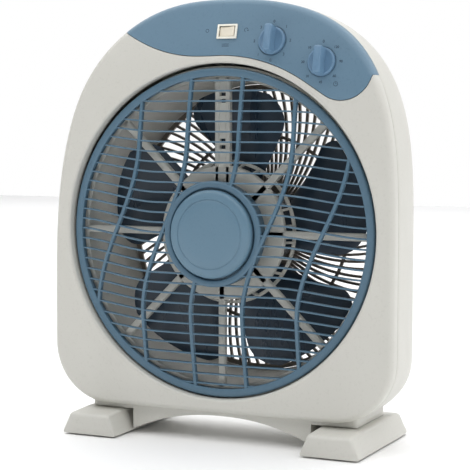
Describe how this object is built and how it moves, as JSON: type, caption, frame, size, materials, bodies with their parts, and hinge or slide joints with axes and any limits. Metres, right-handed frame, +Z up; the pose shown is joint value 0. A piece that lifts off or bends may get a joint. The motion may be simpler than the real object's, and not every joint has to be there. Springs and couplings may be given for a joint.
{
  "type": "box fan",
  "caption": "Floor-standing box fan with a slowly turning louver grille, a bladed wheel, a rear guard, two dials and a rocker switch on a moulded housing with feet.",
  "frame": {"origin": "on the floor under the middle of the bounding box of the standing fan", "axes": "+Z up; the louver grille and the panel face -Y; +X is to the right as seen from the front"},
  "size_m": [0.364, 0.15, 0.434],
  "materials": {
    "housing": "moulded, light warm grey, fine satin",
    "blue": "moulded, blue-grey, satin",
    "blade": "moulded, dark slate blue, semi-gloss",
    "ivory": "moulded, ivory",
    "dark": "moulded, black",
    "steel": "plated and rolled sheet",
    "copper": "enamelled copper wire",
    "bronze": "sintered bronze",
    "rubber": "dull moulded rubber"
  },
  "bodies": {
    "housing": {"base_bridge": "housing", "capacitor": "dark", "control_panel": "blue", "cord_inlet": "rubber", "foot_left": "housing", "foot_right": "housing", "foot_screw_1": "steel", "foot_screw_2": "steel", "foot_screw_3": "steel", "foot_screw_4": "steel", "front_bush": "bronze", "front_shell": "housing", "front_spider": "housing", "front_winding": "copper", "louver_lead": "dark", "louver_motor": "steel", "motor_front_bell": "steel", "motor_rear_bell": "steel", "motor_screw_1": "steel", "motor_screw_2": "steel", "motor_screw_3": "steel", "motor_screw_4": "steel", "pad_left_front": "rubber", "pad_left_rear": "rubber", "pad_right_front": "rubber", "pad_right_rear": "rubber", "rear_bush": "bronze", "rear_grille": "housing", "rear_shell": "housing", "rear_winding": "copper", "rocker_body": "dark", "rocker_frame": "ivory", "shell_screw_1": "steel", "shell_screw_2": "steel", "shell_screw_3": "steel", "shell_screw_4": "steel", "speed_switch": "ivory", "stator": "steel", "terminal_block": "ivory", "timer_body": "steel"},
    "fan": {"fan_blade": "blade", "blade_nut": "blade", "rotor": "steel", "motor_shaft": "steel"},
    "louver": {"louver_grille": "blue", "louver_cap": "blue", "louver_shaft": "steel"},
    "speed_dial": {"speed_knob": "blue", "speed_stem": "steel"},
    "timer_dial": {"timer_knob": "blue", "timer_stem": "steel"},
    "rocker_key": {"rocker": "ivory"}
  },
  "joints": [
    {"name": "fan_spin", "type": "hinge", "parent": "housing", "child": "fan", "pos_m": [0, 0, 0.206], "axis": [0, 1, 0], "continuous": true},
    {"name": "louver_spin", "type": "hinge", "parent": "housing", "child": "louver", "pos_m": [0, 0, 0.206], "axis": [0, 1, 0], "continuous": true},
    {"name": "speed_knob_turn", "type": "hinge", "parent": "housing", "child": "speed_dial", "pos_m": [0.0551, -0.04181, 0.3918], "axis": [0, 0.9659, -0.2588], "continuous": true},
    {"name": "timer_knob_turn", "type": "hinge", "parent": "housing", "child": "timer_dial", "pos_m": [0.1078, -0.04666, 0.3709], "axis": [0, 0.9826, -0.1858], "range_deg": [0, 315]},
    {"name": "rocker_tilt", "type": "hinge", "parent": "housing", "child": "rocker_key", "pos_m": [0.0069, -0.03725, 0.40108], "axis": [0, 0.2588, 0.9659], "range_deg": [0, 14]}
  ]
}
